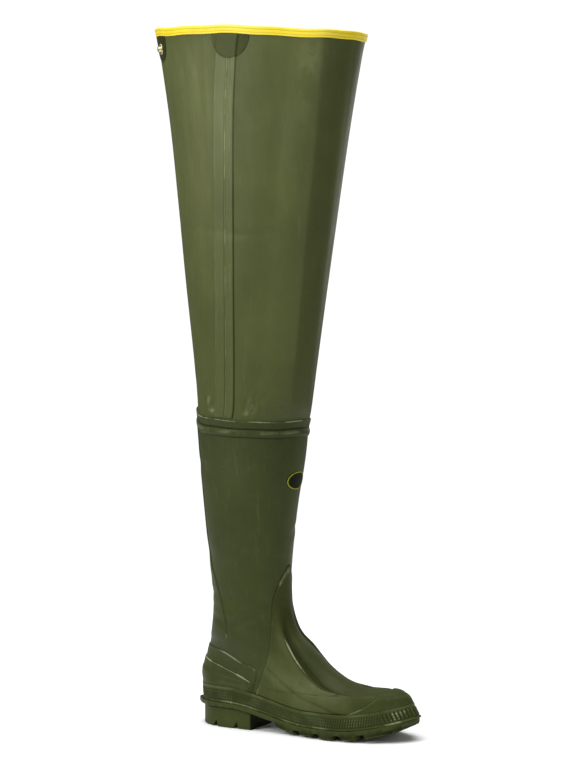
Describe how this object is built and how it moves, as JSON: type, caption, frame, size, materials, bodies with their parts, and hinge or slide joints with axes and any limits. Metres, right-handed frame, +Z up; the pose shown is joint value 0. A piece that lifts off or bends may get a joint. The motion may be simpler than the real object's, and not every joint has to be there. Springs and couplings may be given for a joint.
{
  "type": "hip wader",
  "caption": "Right-foot rubber hip wader: cleated sole, hollow foot and leg, flared thigh shaft with a bound collar, raised knee bands and layered overlays",
  "frame": {"origin": "on the floor, under the middle of the heel block", "axes": "+X towards the toe, +Y towards the wearer's left, which is the inner side of this right boot, +Z up the leg"},
  "size_m": [0.382, 0.1832, 0.9175],
  "materials": {
    "sole_rubber": "dull moulded rubber, fine ribs and cleats",
    "olive_rubber": "smooth lacquered rubber with a soft sheen and faint creases",
    "thigh_rubber": "smooth thin rubber over fabric, satin sheen",
    "insole_cloth": "plain woven insole cloth",
    "yellow_tape": "smooth yellow trim tape with two fine grooves",
    "brass": "worn brass snap stud",
    "badge_print": "plain dark oval with a thin yellow rim"
  },
  "bodies": {
    "root": {"outsole": "sole_rubber", "heel": "sole_rubber", "insole": "insole_cloth", "upper": "olive_rubber", "thigh_shaft": "thigh_rubber", "foxing": "sole_rubber", "vamp": "olive_rubber", "toe_cap": "sole_rubber", "heel_counter_outer": "olive_rubber", "heel_counter_inner": "olive_rubber", "instep_bead_outer": "olive_rubber", "instep_bead_inner": "olive_rubber", "back_strip": "olive_rubber", "knee_band_upper": "olive_rubber", "knee_band_lower": "olive_rubber", "seam_strip": "thigh_rubber", "seam_patch": "thigh_rubber", "strap_tab": "thigh_rubber", "snap_stud": "brass", "shin_badge": "badge_print", "collar_binding": "yellow_tape"}
  },
  "joints": []
}
